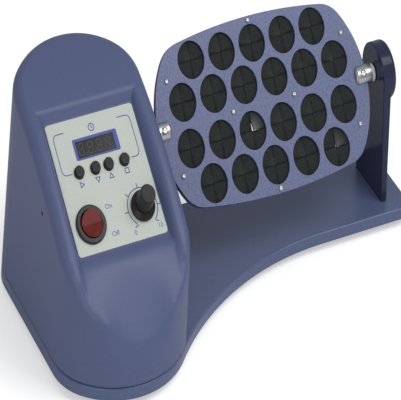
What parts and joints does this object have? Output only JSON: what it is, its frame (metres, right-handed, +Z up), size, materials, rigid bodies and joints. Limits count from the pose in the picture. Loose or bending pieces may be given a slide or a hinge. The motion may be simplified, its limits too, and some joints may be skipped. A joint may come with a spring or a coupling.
{
  "type": "tube rotator",
  "caption": "Bench tube rotator: sloped control housing, swept base and upright carrying a turning platform with slit rubber tube holes.",
  "frame": {"origin": "centre of the footprint at table level", "axes": "+X along the platform's turning axis from the housing to the upright, +Y away from the user, +Z up"},
  "size_m": [0.365, 0.195, 0.1542],
  "materials": {
    "base_paint": "satin blue paint, slightly grey",
    "housing_plastic": "moulded blue plastic, fine satin texture",
    "panel_print": "pale grey-green printed overlay with blue print",
    "window_tint": "dark tinted display window",
    "display": "black display module",
    "board": "green circuit board",
    "black_plastic": "black moulded plastic",
    "black_button": "black button cap",
    "red_lens": "red translucent rocker",
    "hammer_paint": "speckled blue hammer paint",
    "rubber": "black sheet rubber",
    "foot_rubber": "black rubber foot",
    "steel": "bright zinc plated steel",
    "dark_steel": "black oxide steel screw",
    "turned_metal": "turned aluminium, satin",
    "bronze": "sintered bronze",
    "nylon": "white nylon",
    "motor_metal": "plated steel can",
    "bracket_metal": "bent aluminium sheet"
  },
  "bodies": {
    "stand": {"base_plate": "base_paint", "rubber_feet": "foot_rubber", "housing_screws": "steel", "control_housing": "housing_plastic", "housing_side_screw": "dark_steel", "control_panel": "panel_print", "display_window": "window_tint", "display_module": "display", "circuit_board": "board", "board_spacers": "nylon", "button_switches": "black_plastic", "switch_body": "black_plastic", "rocker_pin": "steel", "potentiometer": "steel", "pot_nut": "steel", "motor_bracket": "bracket_metal", "gear_motor": "motor_metal", "bracket_screws": "steel", "drive_bush": "bronze", "power_inlet": "black_plastic", "upright_stand": "base_paint", "upright_screws": "steel", "idler_bush": "bronze"},
    "platform": {"front_plate": "hammer_paint", "back_plate": "hammer_paint", "rubber_sheet": "rubber", "platform_screws": "steel", "platform_nuts": "steel", "left_collar": "turned_metal", "right_collar": "turned_metal", "collar_screws": "steel", "drive_shaft": "turned_metal", "idler_shaft": "turned_metal", "left_washer": "nylon", "right_washer": "nylon", "drive_coupling": "turned_metal", "motor_shaft": "turned_metal"},
    "knob": {"speed_knob": "black_plastic", "pot_shaft": "turned_metal"},
    "rocker": {"power_rocker": "red_lens"},
    "start_key": {"start_button": "black_button"},
    "down_key": {"down_button": "black_button"},
    "up_key": {"up_button": "black_button"},
    "stop_key": {"stop_button": "black_button"}
  },
  "joints": [
    {"name": "platform_spin", "type": "hinge", "parent": "stand", "child": "platform", "pos_m": [0.0475, 0.03, 0.0995], "axis": [1, 0, 0], "continuous": true},
    {"name": "speed_knob_turn", "type": "hinge", "parent": "stand", "child": "knob", "pos_m": [-0.0995, -0.03298, 0.0933], "axis": [0, -0.5105, 0.8599], "range_deg": [-140, 140]},
    {"name": "power_rocker_tilt", "type": "hinge", "parent": "stand", "child": "rocker", "pos_m": [-0.1478, -0.03419, 0.09141], "axis": [1, 0, 0], "range_deg": [-14, 0]},
    {"name": "start_button_press", "type": "slide", "parent": "stand", "child": "start_key", "axis": [0, 0.5105, -0.8599], "range_m": [0, 0.0008], "stiffness_N_per_m": 1500, "springref_m": -0.0003},
    {"name": "down_button_press", "type": "slide", "parent": "stand", "child": "down_key", "axis": [0, 0.5105, -0.8599], "range_m": [0, 0.0008], "stiffness_N_per_m": 1500, "springref_m": -0.0003},
    {"name": "up_button_press", "type": "slide", "parent": "stand", "child": "up_key", "axis": [0, 0.5105, -0.8599], "range_m": [0, 0.0008], "stiffness_N_per_m": 1500, "springref_m": -0.0003},
    {"name": "stop_button_press", "type": "slide", "parent": "stand", "child": "stop_key", "axis": [0, 0.5105, -0.8599], "range_m": [0, 0.0008], "stiffness_N_per_m": 1500, "springref_m": -0.0003}
  ]
}
